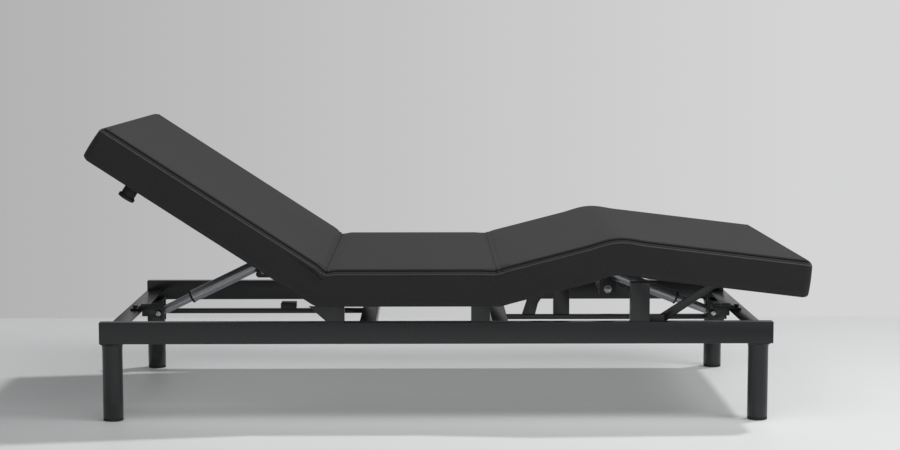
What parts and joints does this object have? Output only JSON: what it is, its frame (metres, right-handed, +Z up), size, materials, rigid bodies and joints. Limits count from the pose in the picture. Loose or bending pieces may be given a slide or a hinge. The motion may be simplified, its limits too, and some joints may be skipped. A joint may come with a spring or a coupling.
{
  "type": "adjustable bed base",
  "caption": "Electric adjustable bed base: fabric covered platform in hinged head, seat, thigh and foot sections, on a black steel frame with round legs and linear actuators",
  "frame": {"origin": "on the floor under the middle of the base's outline", "axes": "+X towards the foot end, -Y the near side of the picture, +Z up"},
  "size_m": [1.9338, 0.965, 0.7933],
  "materials": {
    "powder_steel": "satin black powder coat on steel",
    "satin_tube": "satin grey coated actuator tube",
    "zinc_steel": "bright zinc plated pins and hinge rods",
    "moulded_abs": "black moulded plastic housing",
    "rubber": "matt black rubber",
    "deck_board": "plywood platform board under the cover",
    "deck_fabric": "charcoal woven upholstery over a thin foam edge"
  },
  "bodies": {
    "base_frame": {"side_rail_near": "powder_steel", "side_rail_far": "powder_steel", "cross_rail_head": "powder_steel", "cross_rail_foot": "powder_steel", "middle_member_head": "powder_steel", "middle_member_foot": "powder_steel", "spine_bar_head": "powder_steel", "spine_bar_foot": "powder_steel", "junction_box": "moulded_abs", "thigh_rest_post": "powder_steel", "thigh_rest_strut": "powder_steel", "leg_head_near": "powder_steel", "leg_glide_head_near": "rubber", "leg_head_far": "powder_steel", "leg_glide_head_far": "rubber", "leg_foot_near": "powder_steel", "leg_glide_foot_near": "rubber", "leg_foot_far": "powder_steel", "leg_glide_foot_far": "rubber", "seat_post_head_near": "powder_steel", "seat_post_foot_near": "powder_steel", "link_post_near": "powder_steel", "seat_post_head_far": "powder_steel", "seat_post_foot_far": "powder_steel", "link_post_far": "powder_steel", "clevis_head": "powder_steel", "clevis_pin_head": "zinc_steel", "clevis_foot": "powder_steel", "clevis_pin_foot": "zinc_steel", "seat_frame": "powder_steel", "seat_board": "deck_board", "seat_skirt_near": "deck_fabric", "seat_skirt_far": "deck_fabric", "head_hinge_rod": "zinc_steel", "thigh_hinge_rod": "zinc_steel"},
    "head_section": {"head_frame": "powder_steel", "head_board": "deck_board", "head_skirt_near": "deck_fabric", "head_skirt_far": "deck_fabric", "head_skirt_end": "deck_fabric", "head_bumper_near": "rubber", "head_bumper_far": "rubber"},
    "thigh_section": {"thigh_frame": "powder_steel", "thigh_board": "deck_board", "thigh_skirt_near": "deck_fabric", "thigh_skirt_far": "deck_fabric", "knee_hinge_rod": "zinc_steel"},
    "foot_section": {"foot_frame": "powder_steel", "foot_board": "deck_board", "foot_skirt_near": "deck_fabric", "foot_skirt_far": "deck_fabric", "foot_skirt_end": "deck_fabric"},
    "foot_link_near": {"foot_link_near": "powder_steel"},
    "foot_link_far": {"foot_link_far": "powder_steel"},
    "head_rod": {"head_actuator_rod": "satin_tube"},
    "head_tube": {"head_actuator_tube": "satin_tube", "head_actuator_motor": "moulded_abs"},
    "foot_rod": {"foot_actuator_rod": "satin_tube"},
    "foot_tube": {"foot_actuator_tube": "satin_tube", "foot_actuator_motor": "moulded_abs"}
  },
  "joints": [
    {"name": "head_tilt", "type": "hinge", "parent": "base_frame", "child": "head_section", "pos_m": [-0.34053, 0, 0.3635], "axis": [0, 1, 0], "range_deg": [-33, 27]},
    {"name": "thigh_tilt", "type": "hinge", "parent": "base_frame", "child": "thigh_section", "pos_m": [0.12747, 0, 0.3635], "axis": [0, -1, 0], "range_deg": [-14.5, 20.5]},
    {"name": "foot_fold", "type": "hinge", "parent": "thigh_section", "child": "foot_section", "pos_m": [0.44793, 0, 0.44638], "axis": [0, 1, 0], "range_deg": [-21.41, 30.27]},
    {"name": "head_rod_swing", "type": "hinge", "parent": "base_frame", "child": "head_rod", "pos_m": [-0.83553, 0, 0.2325], "axis": [0, -1, 0], "range_deg": [-4.63, 3.79]},
    {"name": "head_tube_slide", "type": "slide", "parent": "head_rod", "child": "head_tube", "axis": [0.8996, 0, 0.4368], "range_m": [-0.0595, 0.0487]},
    {"name": "foot_rod_swing", "type": "hinge", "parent": "base_frame", "child": "foot_rod", "pos_m": [0.76847, 0, 0.2325], "axis": [0, 1, 0], "range_deg": [-5.23, 7.39]},
    {"name": "foot_tube_slide", "type": "slide", "parent": "foot_rod", "child": "foot_tube", "axis": [-0.9317, 0, 0.3633], "range_m": [-0.03273, 0.04623]},
    {"name": "foot_link_near_swing", "type": "hinge", "parent": "base_frame", "child": "foot_link_near", "pos_m": [0.55147, -0.402, 0.259], "axis": [0, -1, 0], "range_deg": [-13.06, 18.46]},
    {"name": "foot_link_far_swing", "type": "hinge", "parent": "base_frame", "child": "foot_link_far", "pos_m": [0.55147, 0.402, 0.259], "axis": [0, -1, 0], "range_deg": [-13.06, 18.46]}
  ],
  "couplings": [
    {"joint": "foot_fold", "follows": "thigh_tilt", "ratio": 1.4759},
    {"joint": "head_rod_swing", "follows": "head_tilt", "ratio": 0.14},
    {"joint": "head_tube_slide", "follows": "head_tilt", "m_per_rad": 0.10313},
    {"joint": "foot_rod_swing", "follows": "thigh_tilt", "ratio": 0.36},
    {"joint": "foot_tube_slide", "follows": "thigh_tilt", "m_per_rad": 0.12892},
    {"joint": "foot_link_near_swing", "follows": "thigh_tilt", "ratio": 0.9},
    {"joint": "foot_link_far_swing", "follows": "thigh_tilt", "ratio": 0.9}
  ]
}
